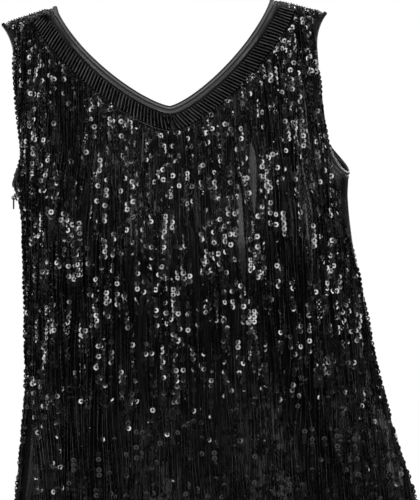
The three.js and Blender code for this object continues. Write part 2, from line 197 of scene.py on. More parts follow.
# One edge of an armhole, moved into the cloth by inset, from the shoulder to the underarm.
def armholeEdge(side, inset, face, steps=40):
    rounding = cut["armholeRounding"][face]
    straight = (cut["armholeBottom"] + inset - rounding) * np.linspace(0, 1, steps + 1)[:-1] ** 2
    rise = rounding * (1 - np.arange(steps + 1) / steps) ** 2
    drop = np.concatenate([straight, cut["armholeBottom"] + inset - rise])
    opened = np.concatenate([np.ones(steps), np.sqrt(1 - (1 - rise / rounding) ** 2)])
    tipShare = np.maximum(1 - drop / cut["armholeTipDrop"], 0) ** 2
    half = cut["armholeHalf"][face]
    half = half + (cut["shoulderTip"] - half) * tipShare - inset
    edge = angleAt(side * half, drop, face)
    seam = seamAngle(side, drop)
    return seam + (edge - seam) * opened, drop


def outerAngle(side, inset, face, drop):
    angles, drops = armholeEdge(side, inset, face, 80)
    return np.where(drop < drops[-1], np.interp(drop, drops, angles), seamAngle(side, drop))


def principled(name, colour, **values):
    material = bpy.data.materials.new(name)
    material.use_nodes = True
    shader = material.node_tree.nodes["Principled BSDF"]
    shader.inputs["Base Color"].default_value = (*colour, 1)
    for label, value in values.items():
        shader.inputs[label.replace("_", " ")].default_value = value
    return material, material.node_tree, shader


def addNode(tree, kind, inputs=None, **settings):
    node = tree.nodes.new(kind)
    for key, value in settings.items():
        setattr(node, key, value)
    for key, value in (inputs or {}).items():
        if isinstance(value, bpy.types.NodeSocket):
            tree.links.new(value, node.inputs[key])
        else:
            node.inputs[key].default_value = value
    return node


def onCloth(tree):
    return addNode(tree, "ShaderNodeUVMap", uv_map="cloth").outputs["UV"]


def onPiece(tree):
    return addNode(tree, "ShaderNodeTexCoord").outputs["Object"]


def wave(tree, vector, scale, direction, distortion=0.0):
    inputs = {"Vector": vector, "Scale": scale, "Distortion": distortion}
    return addNode(tree, "ShaderNodeTexWave", inputs, bands_direction=direction).outputs["Fac"]


def noise(tree, vector, scale, detail, dimensions="3D"):
    inputs = {"Vector": vector, "Scale": scale, "Detail": detail}
    return addNode(tree, "ShaderNodeTexNoise", inputs, noise_dimensions=dimensions).outputs[0]


def stretchedNoise(tree, vector, stretch, detail):
    mapping = addNode(tree, "ShaderNodeMapping", {"Vector": vector, "Scale": stretch})
    return noise(tree, mapping.outputs["Vector"], 1.0, detail)


def combined(tree, x, y):
    return addNode(tree, "ShaderNodeCombineXYZ", {"X": x, "Y": y}).outputs["Vector"]


def mapRange(tree, value, fromRange, toRange):
    inputs = {"Value": value, "From Min": fromRange[0], "From Max": fromRange[1]}
    inputs.update({"To Min": toRange[0], "To Max": toRange[1]})
    return addNode(tree, "ShaderNodeMapRange", inputs).outputs["Result"]


# A bump over another one, where there is one below. The last of them goes to the shader.
def bumped(tree, height, strength, distance, below=None):
    inputs = {"Height": height, "Strength": strength, "Distance": distance}
    if below:
        inputs["Normal"] = below
    return addNode(tree, "ShaderNodeBump", inputs).outputs["Normal"]


def linked(name, mesh, material=None):
    piece = bpy.data.objects.new(name, mesh)
    bpy.context.scene.collection.objects.link(piece)
    if material:
        mesh.materials.append(material)
    return piece


def smoothed(name, mesh, material=None):
    mesh.polygons.foreach_set("use_smooth", np.ones(len(mesh.polygons), dtype=bool))
    return linked(name, mesh, material)


def meshOf(name, points, faces):
    mesh = bpy.data.meshes.new(name)
    mesh.from_pydata(points, [], faces)
    return mesh


def circle(radius, height, sides):
    turns = np.arange(sides) * 2 * math.pi / sides
    return [(radius * math.cos(turn), radius * math.sin(turn), height) for turn in turns]


# A sheet or tube of quads over grids of points, with the cloth's own lengths as its UVs.
def gridMesh(name, grids, material, closed=False):
    points, quads, uvs, first = [], [], [], 0
    for grid, uv in grids:
        ids = first + np.arange(grid.shape[0] * grid.shape[1]).reshape(grid.shape[:2])
        first += ids.size
        ids = np.pad(ids, ((0, 1), (0, 1)), mode="wrap") if closed else ids
        quads.append(np.stack([ids[:-1, :-1], ids[1:, :-1], ids[1:, 1:], ids[:-1, 1:]], -1).reshape(-1, 4))
        points.append(grid.reshape(-1, 3))
        uvs.append(uv.reshape(-1, 2))
    mesh = meshOf(name, np.vstack(points).tolist(), np.vstack(quads).tolist())
    corners = np.empty(len(mesh.loops), dtype=np.int32)
    mesh.loops.foreach_get("vertex_index", corners)
    layer = mesh.uv_layers.new(name="cloth")
    layer.data.foreach_set("uv", np.vstack(uvs)[corners].astype(np.float32).ravel())
    edit = bmesh.new()
    edit.from_mesh(mesh)
    bmesh.ops.remove_doubles(edit, verts=edit.verts, dist=2e-5)
    if closed:
        bmesh.ops.recalc_face_normals(edit, faces=edit.faces)
    edit.to_mesh(mesh)
    edit.free()
    return smoothed(name, mesh, material)


def bakeModifiers(piece, name):
    bpy.context.view_layer.update()
    evaluated = piece.evaluated_get(bpy.context.evaluated_depsgraph_get())
    mesh = bpy.data.meshes.new_from_object(evaluated)
    bpy.data.objects.remove(piece)
    mesh.name = name
    return linked(name, mesh)


def walled(piece, thickness, offset):
    solid = piece.modifiers.new("wall", "SOLIDIFY")
    solid.thickness, solid.offset = thickness, offset
    return bakeModifiers(piece, piece.name)


def gridUv(along, across):
    return np.stack(np.broadcast_arrays(along[:, None], across[None, :]), -1)


# Polylines with the numbers that the strand and stitch trees read.
def lineMesh(name, lines):
    points, edges, out, along, number, bare = [], [], [], [], [], []
    for index, line in enumerate(lines):
        first, count = len(points), len(line["points"])
        points.extend(line["points"].tolist())
        edges.extend((first + k, first + k + 1) for k in range(count - 1))
        out.extend(line["outward"].tolist())
        along.extend(runLengths(line["points"]).tolist())
        number.extend([line.get("number", index)] * count)
        bare.extend(np.broadcast_to(line.get("bare", 0.0), count).tolist())
    mesh = bpy.data.meshes.new(name)
    mesh.from_pydata(points, edges, [])
    mesh.attributes.new("outward", "FLOAT_VECTOR", "POINT").data.foreach_set("vector", np.ravel(out))
    for label, values in (("along", along), ("number", number), ("bare", bare)):
        mesh.attributes.new(label, "FLOAT", "POINT").data.foreach_set("value", np.array(values, float))
    return linked(name, mesh)


def newTree(name, sockets):
    tree = bpy.data.node_groups.new(name, "GeometryNodeTree")
    tree.interface.new_socket("Lines", in_out="INPUT", socket_type="NodeSocketGeometry")
    for label, kind in sockets:
        tree.interface.new_socket(label, in_out="INPUT", socket_type=f"NodeSocket{kind}")
    tree.interface.new_socket("Mesh", in_out="OUTPUT", socket_type="NodeSocketGeometry")
    return tree, tree.nodes.new("NodeGroupInput").outputs, tree.nodes.new("NodeGroupOutput").inputs["Mesh"]


def growPiece(name, lines, tree, settings):
    source = lineMesh(name + "Lines", lines)
    modifier = source.modifiers.new(tree.name, "NODES")
    modifier.node_group = tree
    for item in tree.interface.items_tree:
        if item.in_out == "INPUT" and item.name in settings:
            modifier[item.identifier] = settings[item.name]
    return bakeModifiers(source, name)


def named(tree, label, kind="FLOAT"):
    node = addNode(tree, "GeometryNodeInputNamedAttribute", {"Name": label}, data_type=kind)
    return node.outputs["Attribute"]


def maths(tree, operation, first, second):
    return addNode(tree, "ShaderNodeMath", {0: first, 1: second}, operation=operation).outputs["Value"]


def randomBetween(tree, low, high, seed):
    return addNode(tree, "FunctionNodeRandomValue", {2: low, 3: high, "Seed": seed}).outputs[1]


def placedOn(tree, points, shape, rotation, scale, **more):
    instance = addNode(tree, "GeometryNodeObjectInfo", {"Object": shape}).outputs["Geometry"]
    inputs = {"Points": points, "Instance": instance, "Rotation": rotation, "Scale": scale, **more}
    return addNode(tree, "GeometryNodeInstanceOnPoints", inputs).outputs["Instances"]


def facingOut(tree):
    out = named(tree, "outward", "FLOAT_VECTOR")
    upright = addNode(tree, "FunctionNodeAlignRotationToVector", {"Vector": out}, axis="Z")
    tangent = addNode(tree, "GeometryNodeInputTangent").outputs["Tangent"]
    inputs = {"Rotation": upright.outputs["Rotation"], "Vector": tangent}
    turned = addNode(tree, "FunctionNodeAlignRotationToVector", inputs, axis="Y", pivot_axis="Z")
    return turned.outputs["Rotation"]


def evenlySpaced(tree, lines, spacing):
    curve = addNode(tree, "GeometryNodeMeshToCurve", {"Mesh": lines}).outputs["Curve"]
    inputs = {"Curve": curve, "Length": spacing}
    return addNode(tree, "GeometryNodeResampleCurve", inputs, mode="LENGTH").outputs["Curve"]


# Every tree ends so: its instances made real, and their material set.
def endTree(tree, geometry, finish, result):
    real = addNode(tree, "GeometryNodeRealizeInstances", {"Geometry": geometry}).outputs["Geometry"]
    inputs = {"Geometry": real, "Material": finish}
    tree.links.new(addNode(tree, "GeometryNodeSetMaterial", inputs).outputs["Geometry"], result)
    return tree


# Sequins on strands. They turn about their thread, a few neighbours together, and tip a little each.
def makeSequinTree():
    sockets = [("Pitch", "Float"), ("Turn", "Float"), ("Turn Reach", "Float"), ("Turn Length", "Float")]
    sockets += [("Tip", "Float"), ("Size", "Float"), ("Size Spread", "Float"), ("Seed", "Int")]
    sockets += [("Sequin", "Object"), ("Finish", "Material")]
    tree, given, result = newTree("sequinsOnStrands", sockets)
    spaced = evenlySpaced(tree, given["Lines"], given["Pitch"])
    across = maths(tree, "DIVIDE", named(tree, "along"), given["Turn Length"])
    which = maths(tree, "MULTIPLY", named(tree, "number"), 7.31)
    swing = maths(tree, "SUBTRACT", noise(tree, combined(tree, across, which), 1.0, 2.0, "2D"), 0.5)
    turn = maths(tree, "MULTIPLY", swing, maths(tree, "MULTIPLY", given["Turn Reach"], 4.0))
    turn = maths(tree, "ADD", turn, given["Turn"])

    def spread(reach, offset):
        seed = maths(tree, "ADD", given["Seed"], offset)
        return randomBetween(tree, maths(tree, "MULTIPLY", reach, -1.0), reach, seed)

    def seldomFar(offset):
        part = spread(1.0, offset)
        cubed = maths(tree, "MULTIPLY", part, maths(tree, "MULTIPLY", part, part))
        return maths(tree, "MULTIPLY", given["Tip"], cubed)

    turn = maths(tree, "ADD", turn, seldomFar(1))
    angles = combined(tree, seldomFar(2), turn)
    local = addNode(tree, "FunctionNodeEulerToRotation", {"Euler": angles}).outputs["Rotation"]
    inputs = {"Rotation": facingOut(tree), "Rotate By": local}
    rotated = addNode(tree, "FunctionNodeRotateRotation", inputs, rotation_space="LOCAL")
    inputs = {0: randomBetween(tree, 0.0, 1.0, given["Seed"]), 1: named(tree, "bare")}
    kept = addNode(tree, "FunctionNodeCompare", inputs, operation="GREATER_THAN").outputs["Result"]
    scale = maths(tree, "ADD", spread(given["Size Spread"], 3), given["Size"])
    turned = rotated.outputs["Rotation"]
    placed = placedOn(tree, spaced, given["Sequin"], turned, scale, Selection=kept)
    inputs = {"Geometry": placed, "Name": "tone", "Value": spread(0.5, 4)}
    toned = addNode(tree, "GeometryNodeStoreNamedAttribute", inputs, data_type="FLOAT", domain="INSTANCE")
    return endTree(tree, toned.outputs["Geometry"], given["Finish"], result)


# A round thread or piping along each line.
def makeThreadTree():
    sockets = [("Step", "Float"), ("Radius", "Float"), ("Sides", "Int"), ("Finish", "Material")]
    tree, given, result = newTree("threadOnLines", sockets)
    spaced = evenlySpaced(tree, given["Lines"], given["Step"])
    inputs = {"Resolution": given["Sides"], "Radius": given["Radius"]}
    ring = addNode(tree, "GeometryNodeCurvePrimitiveCircle", inputs).outputs["Curve"]
    inputs = {"Curve": spaced, "Profile Curve": ring, "Fill Caps": True}
    tube = addNode(tree, "GeometryNodeCurveToMesh", inputs).outputs["Mesh"]
    return endTree(tree, tube, given["Finish"], result)


# One shape again and again along lines: stitches and zip teeth.
def makeRepeatTree():
    sockets = [("Pitch", "Float"), ("Shape", "Object"), ("Spread", "Float")]
    sockets += [("Seed", "Int"), ("Finish", "Material")]
    tree, given, result = newTree("shapesOnLines", sockets)
    spaced = evenlySpaced(tree, given["Lines"], given["Pitch"])
    low = maths(tree, "SUBTRACT", 1.0, given["Spread"])
    high = maths(tree, "ADD", 1.0, given["Spread"])
    size = randomBetween(tree, low, high, given["Seed"])
    placed = placedOn(tree, spaced, given["Shape"], facingOut(tree), size)
    return endTree(tree, placed, given["Finish"], result)


sequinTree, threadTree, repeatTree = makeSequinTree(), makeThreadTree(), makeRepeatTree()


# Sequins hung as their settings say: pitch, turnReach, turnLength and tip.
def sequinsAlong(name, lines, seed, hung, turn=0.0, size=1.0):
    settings = {"Pitch": hung["pitch"], "Turn": turn, "Turn Reach": hung["turnReach"]}
    settings.update({"Turn Length": hung["turnLength"], "Tip": hung["tip"], "Size": size})
    settings.update({"Size Spread": 0.05, "Seed": seed, "Sequin": sequinShape, "Finish": sequinGloss})
    return growPiece(name, lines, sequinTree, settings)


def threadAlong(name, lines, step, radius, sides, finish):
    settings = {"Step": step, "Radius": radius, "Sides": sides, "Finish": finish}
    return growPiece(name, lines, threadTree, settings)


def shapesAlong(name, lines, pitch, shape, spread, seed, finish):
    settings = {"Pitch": pitch, "Shape": shape, "Spread": spread, "Seed": seed, "Finish": finish}
    return growPiece(name, lines, repeatTree, settings)


def makeJersey():
    values = {"Roughness": 0.24, "Specular_IOR_Level": 0.5}
    material, tree, shader = principled("blackJersey", (0.004, 0.004, 0.0042), **values)
    uv = onCloth(tree)
    knit = maths(tree, "MULTIPLY", wave(tree, uv, 560.0, "X", 0.4), wave(tree, uv, 700.0, "Y", 0.4))
    fine = bumped(tree, knit, 0.2, 0.00012)
    rumple = stretchedNoise(tree, uv, (70.0, 9.0, 1.0), 3.0)
    tree.links.new(bumped(tree, rumple, 0.25, 0.002, fine), shader.inputs["Normal"])
    tree.links.new(mapRange(tree, rumple, (0.3, 0.7), (0.16, 0.25)), shader.inputs["Roughness"])
    return material


# Tones run across the strip from its free edge, as (centimetres, tone) in a row. One tone alone is plain;
# several paint light and shade into the base colour across the strip, as painted shade and painted
# highlight.
def makeSatin(name, plainOrPaintedTones, shine):
    values = {"Roughness": 0.26, "IOR": 1.6, "Specular_IOR_Level": shine}
    values.update({"Sheen_Weight": 0.05, "Sheen_Roughness": 0.35})
    material, tree, shader = principled(name, (plainOrPaintedTones[-1][1],) * 3, **values)
    uv = onCloth(tree)
    # Several steps across the strip: painted shade and painted highlight set into the base colour by place.
    if len(plainOrPaintedTones) > 1:
        across = addNode(tree, "ShaderNodeSeparateXYZ", {"Vector": uv}).outputs["Y"]
        ramp = addNode(tree, "ShaderNodeValToRGB", {"Fac": maths(tree, "MULTIPLY", across, 100.0)})
        ramp.color_ramp.elements.remove(ramp.color_ramp.elements[1])
        for place, tone in plainOrPaintedTones[1:]:
            ramp.color_ramp.elements.new(place)
        for element, (place, tone) in zip(ramp.color_ramp.elements, plainOrPaintedTones):
            element.position = place
            element.color = (tone, tone, tone, 1)
        tree.links.new(ramp.outputs["Color"], shader.inputs["Base Color"])
    fine = bumped(tree, wave(tree, uv, 520.0, "X", 0.8), 0.3, 0.0001)
    pucker = stretchedNoise(tree, uv, (90.0, 220.0, 1.0), 2.0)
    tree.links.new(bumped(tree, pucker, 0.25, 0.0007, fine), shader.inputs["Normal"])
    return material


def makeSequinGloss():
    values = {"Roughness": 0.17, "IOR": 1.6, "Specular_IOR_Level": 1.0}
    material, tree, shader = principled("sequinGloss", (0.005, 0.005, 0.0055), **values)
    tone = addNode(tree, "ShaderNodeAttribute", attribute_name="tone").outputs["Fac"]
    tree.links.new(mapRange(tree, tone, (-0.5, 0.5), (0.08, 0.22)), shader.inputs["Roughness"])
    grain = noise(tree, onPiece(tree), 900.0, 2.0)
    tree.links.new(bumped(tree, grain, 0.05, 0.0001), shader.inputs["Normal"])
    return material


# Thread whose colour varies at random along it, between the two given levels. Where the pale level is high,
# as for the band and hanging-strand threads, it is a painted highlight: lighter thread standing in for its
# sheen.
def makeThreadFinish(name, darkest, paleToneAndPaintedHighlight, roughness):
    material, tree, shader = principled(name, (paleToneAndPaintedHighlight,) * 3, Roughness=roughness, Sheen_Weight=0.1)
    number = addNode(tree, "ShaderNodeAttribute", attribute_name="number").outputs["Fac"]
    along = addNode(tree, "ShaderNodeAttribute", attribute_name="along").outputs["Fac"]
    spot = combined(tree, maths(tree, "MULTIPLY", along, 24.0), maths(tree, "MULTIPLY", number, 7.31))
    tone = mapRange(tree, noise(tree, spot, 1.0, 2.0, "2D"), (0.45, 0.75), (darkest, paleToneAndPaintedHighlight))
    tree.links.new(tone, shader.inputs["Base Color"])
    twist = wave(tree, onPiece(tree), 420.0, "DIAGONAL")
    tree.links.new(bumped(tree, twist, 0.4, 0.0001), shader.inputs["Normal"])
    return material


def makeTapeFinish():
    material, tree, shader = principled("zipTapeWeave", (0.014, 0.014, 0.015), Roughness=0.75)
    weave = wave(tree, onPiece(tree), 380.0, "Z")
    tree.links.new(bumped(tree, weave, 0.4, 0.0002), shader.inputs["Normal"])
    return material


def makeZipMetal():
    values = {"Roughness": 0.35, "Metallic": 0.2, "Coat_Weight": 0.3}
    material, tree, shader = principled("paintedZip", (0.022, 0.022, 0.023), **values)
    wear = noise(tree, onPiece(tree), 700.0, 4.0)
    tree.links.new(mapRange(tree, wear, (0.35, 0.7), (0.28, 0.5)), shader.inputs["Roughness"])
    tree.links.new(bumped(tree, wear, 0.2, 0.0001), shader.inputs["Normal"])
    return material


jersey, sequinGloss = makeJersey(), makeSequinGloss()
# The neck binding's colour steps are painted light and shade: painted shade on the outer edge of the roll
# and down into the ditch, a painted highlight along the crest, then 0.06 over the flat strip.
bindingPaintedShadeAndHighlight = ((0.38, 0.002), (0.46, 0.17), (0.60, 0.17), (0.68, 0.002), (0.95, 0.06))
satin = makeSatin("bindingSatin", bindingPaintedShadeAndHighlight, 1.0)
armholeSatin = makeSatin("armholeSatin", ((0, 0.022),), 0.45)
bandSatin = makeSatin("bandSatin", ((0, 0.012),), 0.35)
# The threads of the band and of the hanging strands are pale grey as painted highlight: light lines
# standing in for the sheen along them.
bandThread = makeThreadFinish("bandThread", 0.17, 0.36, 0.35)
strandThread = makeThreadFinish("strandThread", 0.004, 0.13, 0.4)
stitchThread = makeThreadFinish("stitchThread", 0.045, 0.06, 0.45)
tapeWeave, zipMetal = makeTapeFinish(), makeZipMetal()
print("finishes made")


# The base: two panels of jersey, from the bindings to the hem.
base = {
    "lift": 0.0012,  # the outside of the cloth over the form
    "wall": 0.0010,
    "tuck": 0.0075,  # how far in from the bound edges the cloth starts, under the bindings
    "rows": 150,
    "columns": 46,
    "columnEase": 0.9,
    "seamGap": 0.0001,
    "zipGap": 0.0012,  # the cloth stops this far from the left seam where the zip is
    "zipEnd": 0.437,
    "seamRound": 0.004,  # the cloth turns in over this width beside a side seam
    "seamSink": 0.0009,
    "underarmEase": 0.004,
    "creaseWidth": 0.85,  # of the half width, for turning a crease's angle into a place across
    "edgeRows": 0.030,  # the rows crowd together this far above the necklines' and armholes' low points
    "meanRadius": 0.18,  # turns angles into the cloth's own widths
}
# Soft creases: middle angle in degrees, first and last drop, lean in degrees, half width and depth.
creaseRows = {
    "front": (
        (-62, 0.205, 0.300, 24, 0.007, 0.0016),
        (-70, 0.300, 0.430, -12, 0.009, 0.0020),
        (-48, 0.430, 0.620, 8, 0.012, 0.0018),
        (-63, 0.400, 0.790, 3, 0.008, 0.0046),
        (-78, 0.520, 0.740, 5, 0.010, 0.0022),
        (-20, 0.330, 0.470, -10, 0.010, 0.0014),
        (12, 0.560, 0.770, 3, 0.013, 0.0017),
        (30, 0.300, 0.450, 14, 0.009, 0.0015),
        (58, 0.215, 0.290, -26, 0.007, 0.0018),
        (66, 0.400, 0.600, -9, 0.012, 0.0021),
        (74, 0.470, 0.760, -4, 0.011, 0.0024),
        (24, 0.135, 0.262, 0, 0.009, 0.0016),
        (17, 0.180, 0.345, -1, 0.009, 0.0011),
        (5, 0.180, 0.260, -2, 0.007, 0.0018),
        (-15, 0.225, 0.345, 2, 0.008, 0.0022),
        (-27, 0.170, 0.265, -3, 0.008, 0.0020),
    ),
    "back": (
        (-104, 0.215, 0.310, 22, 0.008, 0.0018),
        (-118, 0.330, 0.440, -14, 0.010, 0.0020),
        (-140, 0.300, 0.420, 28, 0.011, 0.0017),
        (-166, 0.350, 0.455, 6, 0.012, 0.0019),
        (-126, 0.520, 0.735, 6, 0.014, 0.0021),
        (172, 0.560, 0.765, -3, 0.013, 0.0018),
        (150, 0.315, 0.430, -24, 0.010, 0.0018),
        (128, 0.360, 0.500, 12, 0.011, 0.0022),
        (108, 0.230, 0.300, -20, 0.007, 0.0016),
        (112, 0.560, 0.750, -6, 0.015, 0.0023),
    ),
}


def creaseDepth(face, angle, drop):
    depth = np.zeros(np.broadcast(angle, drop).shape)
    for middle, start, end, lean, width, deepest in creaseRows[face]:
        aside = (angle - math.radians(middle)) * ringValue("halfWidth", drop) * base["creaseWidth"]
        aside = aside - (drop - (start + end) / 2) * math.tan(math.radians(lean))
        length = np.clip((drop - start) / (end - start), 0, 1)
        depth += deepest * np.exp(-((aside / width) ** 2)) * np.sin(math.pi * length) ** 1.5
    return depth


def makeJerseyPanel(name, face):
    apex = float(neckPoint(0, base["tuck"], face)[1])
    underarm = cut["armholeBottom"] + base["tuck"]
    drops = np.unique(np.round(np.concatenate([
        pose["shoulderRoll"] * (1 - np.cos(np.linspace(0, math.pi / 2, 14))),
        np.linspace(pose["shoulderRoll"], cut["hemDrop"], base["rows"]),
        apex - base["edgeRows"] * np.linspace(0, 1, 14) ** 2,
        underarm - base["edgeRows"] * np.linspace(0, 1, 10) ** 2,
    ]), 5))
    halves = []
    for side in (-1, 1):
        inner = neckEdgeAngle(side, base["tuck"], face, drops)
        outer = outerAngle(side, base["tuck"], face, drops)
        besideZip = (drops > underarm) & (drops < base["zipEnd"]) & (side < 0)
        gap = np.where(besideZip, base["zipGap"], base["seamGap"])
        outer = outer + side * (-1 if face == "front" else 1) * gap / ringValue("halfWidth", drops)
        shares = np.sin(np.linspace(0, math.pi / 2, base["columns"] + 1)) ** base["columnEase"]
        angle = inner[:, None] + (outer - inner)[:, None] * shares[None, :]
        drop = np.repeat(drops[:, None], len(shares), axis=1)
        fromSeam = np.abs(angle - outer[:, None]) * ringValue("halfWidth", drop)
        belowArm = smooth(drop, underarm - base["underarmEase"], underarm + base["underarmEase"])
        sink = base["seamSink"] * np.exp(-((fromSeam / base["seamRound"]) ** 2)) * belowArm
        lift = base["lift"] - sink - creaseDepth(face, angle, drop)
        points = onForm(angle, drop, lift)
        across = np.abs(angle - middleAngle(side, face)) * base["meanRadius"] * side
        uv = np.stack([across, drop], -1)
        if (side > 0) != (face == "front"):
            points, uv = points[:, ::-1], uv[:, ::-1]
        halves.append((points, uv))
    return walled(gridMesh(name, halves, jersey), base["wall"], -1)


frontJersey = makeJerseyPanel("frontJersey", "front")
backJersey = makeJerseyPanel("backJersey", "back")
print("jersey panels made:", len(frontJersey.data.polygons) + len(backJersey.data.polygons), "faces")


# The bindings: a rolled edge, a ditch and a flat strip with twin topstitching.
binding = {
    # the folded strip's section: how far in from the edge, and height over the form
    "section": (
        (0.0000, 0.0000), (0.0000, 0.0018), (0.0001, 0.0021), (0.0003, 0.00225), (0.0008, 0.00238),
        (0.0013, 0.00250), (0.0016, 0.0026), (0.0019, 0.00263), (0.0026, 0.00267), (0.0033, 0.0027),
        (0.0036, 0.0026), (0.0039, 0.0019), (0.0042, 0.0006), (0.0047, 0.0008), (0.0050, 0.0014),
        (0.0054, 0.00145), (0.0068, 0.00132), (0.0082, 0.00120), (0.0087, 0.0011), (0.0091, 0.0004),
        (0.0088, 0.0000), (0.0050, -0.0004), (0.0010, -0.0003),
    ),
    "stitchRows": (0.0064, 0.0080),
    "stitchHeight": 0.0016,
    "stitchPitch": 0.0027,
    "neckSteps": {"front": 90, "back": 120},
    "armholeSteps": 80,
}


# Places all round the neck, a row for each station: the angle and drop at every inset.
def neckRing(insets, faces=("front", "back")):
    angles, drops = [], []
    quarters = ((-1, "front", False), (1, "front", True), (1, "back", False), (-1, "back", True))
    for side, face, rising in quarters:
        if face not in faces:
            continue
        shares = np.sin(np.linspace(0, math.pi / 2, binding["neckSteps"][face] + 1))
        shares = (shares[1:] if rising else shares[::-1])[:, None]
        x, drop = neckPoint(shares, np.array(insets)[None, :], face)
        angle = angleAt(side * np.maximum(x, 1e-7), drop, face)
        angles.append(np.where(shares <= 0, middleAngle(side, face), angle))
        drops.append(drop)
    return np.concatenate(angles), np.concatenate(drops)


def armholeRing(side, insets):
    rows = {}
    for face in ("front", "back"):
        edges = [armholeEdge(side, inset, face, binding["armholeSteps"]) for inset in insets]
        rows[face] = np.array(edges).transpose(1, 2, 0)
    angle = np.concatenate([rows["front"][0], rows["back"][0][::-1][1:-1]])
    drop = np.concatenate([rows["front"][1], rows["back"][1][::-1][1:-1]])
    return angle, drop


def makeBinding(name, ring, finish):
    points = onForm(*ring, bindingSection[:, 1])
    uv = gridUv(runLengths(points[:, 3]), runLengths(bindingSection))
    return gridMesh(name, [(points, uv)], finish, closed=True)


# A line of stitches all the way round a ring of places.
def stitchRing(ring):
    closed = (np.append(column[:, 0], column[0, 0]) for column in ring)
    return formLine(*closed, binding["stitchHeight"])


bindingSection = np.array(binding["section"])
foldedInsets = bindingSection[:, 0]
neckBinding = makeBinding("neckBinding", neckRing(foldedInsets), satin)
armholeBindingLeft = makeBinding("armholeBindingLeft", armholeRing(-1, foldedInsets), armholeSatin)
armholeBindingRight = makeBinding("armholeBindingRight", armholeRing(1, foldedInsets), armholeSatin)


# A short bar of thread with pointed ends, along Y and lying on the cloth.
def makeStitchShape(length, radius):
    middle = [(x, y * length, z) for y in (-0.25, 0.25) for x, z, _ in circle(radius, 0, 4)]
    points = [(0, -length / 2, -radius), *middle, (0, length / 2, -radius)]
    faces = [(0, 1 + k, 1 + (k + 1) % 4) for k in range(4)]
    faces += [(1 + k, 5 + k, 5 + (k + 1) % 4, 1 + (k + 1) % 4) for k in range(4)]
    faces += [(9, 5 + (k + 1) % 4, 5 + k) for k in range(4)]
    return smoothed("stitchShape", meshOf("stitchShape", points, faces))


stitch = {
    "length": 0.0021,
    "radius": 0.00024,
    "seamAside": (0.0022, 0.0046),
    "seamStart": 0.0105,
    "seamEnd": 0.003,
    "hemRows": (0.7655, 0.7685),
    "lift": 0.0013,
}
stitchShape = makeStitchShape(stitch["length"], stitch["radius"])


def makeStitches(name, lines, seed):
    return shapesAlong(name, lines, binding["stitchPitch"], stitchShape, 0.08, seed, stitchThread)


neckRows = [stitchRing(neckRing([inset])) for inset in binding["stitchRows"]]
armholeRows = [
    stitchRing(armholeRing(side, [inset])) for side in (-1, 1) for inset in binding["stitchRows"]
]
neckStitches = makeStitches("neckStitches", neckRows, 3)
armholeStitches = makeStitches("armholeStitches", armholeRows, 4)


def seamAndHemLines():
    first, last = cut["armholeBottom"] + stitch["seamStart"], cut["hemDrop"] - stitch["seamEnd"]
    drop = np.arange(first, last, 0.01)
    near, far = stitch["seamAside"]
    lines = []
    for side, rows in ((-1, (far, -far)), (1, (near, far, -near, -far))):  # the zip's side has one row
        for aside in rows:
            angle = seamAngle(side, drop) + aside / ringValue("halfWidth", drop)
            lines.append(formLine(angle, drop, stitch["lift"]))
    turn = np.linspace(-math.pi, math.pi, 240)
    return lines + [formLine(turn, row, stitch["lift"]) for row in stitch["hemRows"]]


seamStitches = makeStitches("seamStitches", seamAndHemLines(), 5)
print("bindings and stitches made")


# Sequins are cupped rings.
sequin = {"radius": 0.00285, "hole": 0.00108, "cup": 0.00006, "sides": 8}


def makeSequinShape():
    count = sequin["sides"]
    points = circle(sequin["hole"], -sequin["cup"], count) + circle(sequin["radius"], 0, count)
    faces = [(k, count + k, count + (k + 1) % count, (k + 1) % count) for k in range(count)]
    return smoothed("sequinShape", meshOf("sequinShape", points, faces))


sequinShape = makeSequinShape()

# The band below the neck binding, and the strips over the straps: short strands sewn down side by side,
# their sequins shingled and steeply turned, on a strip of satin with piping at its outer edge.
trim = {
    "inner": 0.0092,
    "outer": 0.0270,
    "lift": 0.0018,
    "wall": 0.0005,
    "strandSpacing": 0.0036,
    "strandInner": 0.0112,
    "strandOuter": 0.0252,
    "strandLift": 0.0036,
    "slantLeft": 0.0048,  # how far a strand's outer end runs on towards the middle of the neckline
    "slantRight": -0.0050,
    "pitch": 0.0021,
    "turn": math.radians(60),
    "stripTurn": math.radians(42),
    "stripLift": 0.0021,
    "stripSize": 0.62,
    "stripSpacing": 0.0028,
    "stripPipingLift": 0.0024,
    "turnReach": math.radians(22),
    "turnLength": 0.020,
    "tip": math.radians(20),
    "threadRadius": 0.0005,
    "pipingRadius": 0.0006,
    "pipingLift": 0.0030,
    "stripReach": 0.0090,
    "stripClear": 0.001,  # strands end this far from the strips over the straps
    "stripStrandInset": (0.002, 0.001),
    "shareEnds": (0.004, 0.996),
    "pipingClear": 0.0008,
    "pipingInset": (0.0012, 0.0014),
    "pipingBeyond": 0.0004,
    "stripInner": 0.1234,
    "stripOuter": 0.1672,
}


def trimCloth(name, angle, drop, across):
    points = onForm(angle, drop, trim["lift"])
    uv = gridUv(runLengths(points[:, len(across) // 2]), across)
    return walled(gridMesh(name, [(points, uv)], bandSatin), trim["wall"], 0)


def makeBandCloth(name, face):
    insets = np.linspace(trim["inner"], trim["outer"], 7)
    angle, drop = neckRing(insets, (face,))
    keep = drop[:, -1] >= trim["stripReach"]
    return trimCloth(name, angle[keep], np.maximum(drop[keep], trim["stripReach"]), insets)


